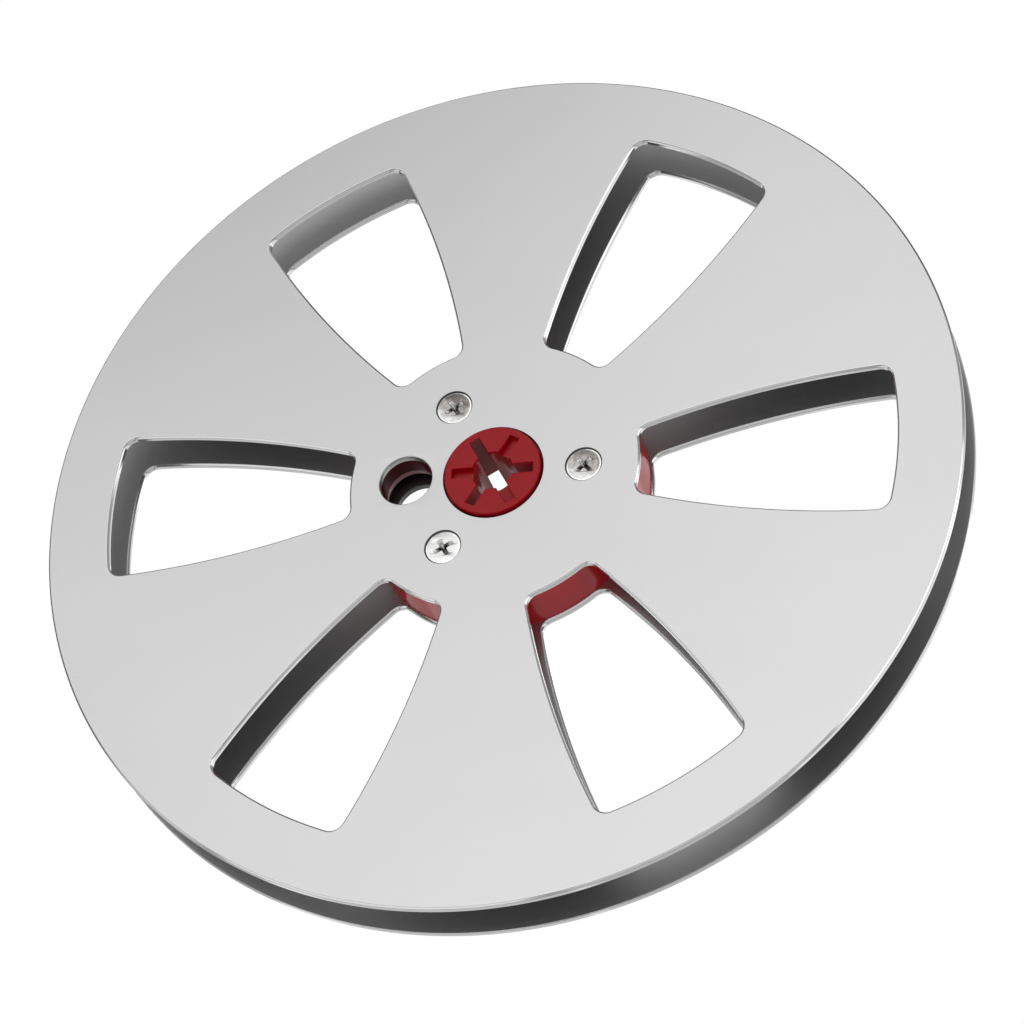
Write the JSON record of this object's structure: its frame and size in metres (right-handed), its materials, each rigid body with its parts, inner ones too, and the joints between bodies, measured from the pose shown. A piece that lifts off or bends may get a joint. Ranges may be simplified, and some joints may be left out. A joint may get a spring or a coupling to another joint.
{
  "type": "tape reel",
  "caption": "Empty seven-inch tape reel: two windowed aluminium flanges screwed to a red moulded hub with a keyed spindle bore.",
  "frame": {"origin": "centre of the reel: on the spindle axis, halfway between the flanges", "axes": "+Z along the spindle axis towards the front flange, +X towards the first screw, away from the peep hole"},
  "size_m": [0.1778, 0.1778, 0.0138],
  "materials": {
    "flange_aluminium": "fine brushed, clear anodised",
    "hub_plastic": "moulded, satin to glossy",
    "screw_steel": "bright plated"
  },
  "bodies": {
    "root": {"front_flange": "flange_aluminium", "rear_flange": "flange_aluminium", "hub": "hub_plastic", "front_screw_1": "screw_steel", "front_screw_2": "screw_steel", "front_screw_3": "screw_steel", "rear_screw_1": "screw_steel", "rear_screw_2": "screw_steel", "rear_screw_3": "screw_steel"}
  },
  "joints": []
}
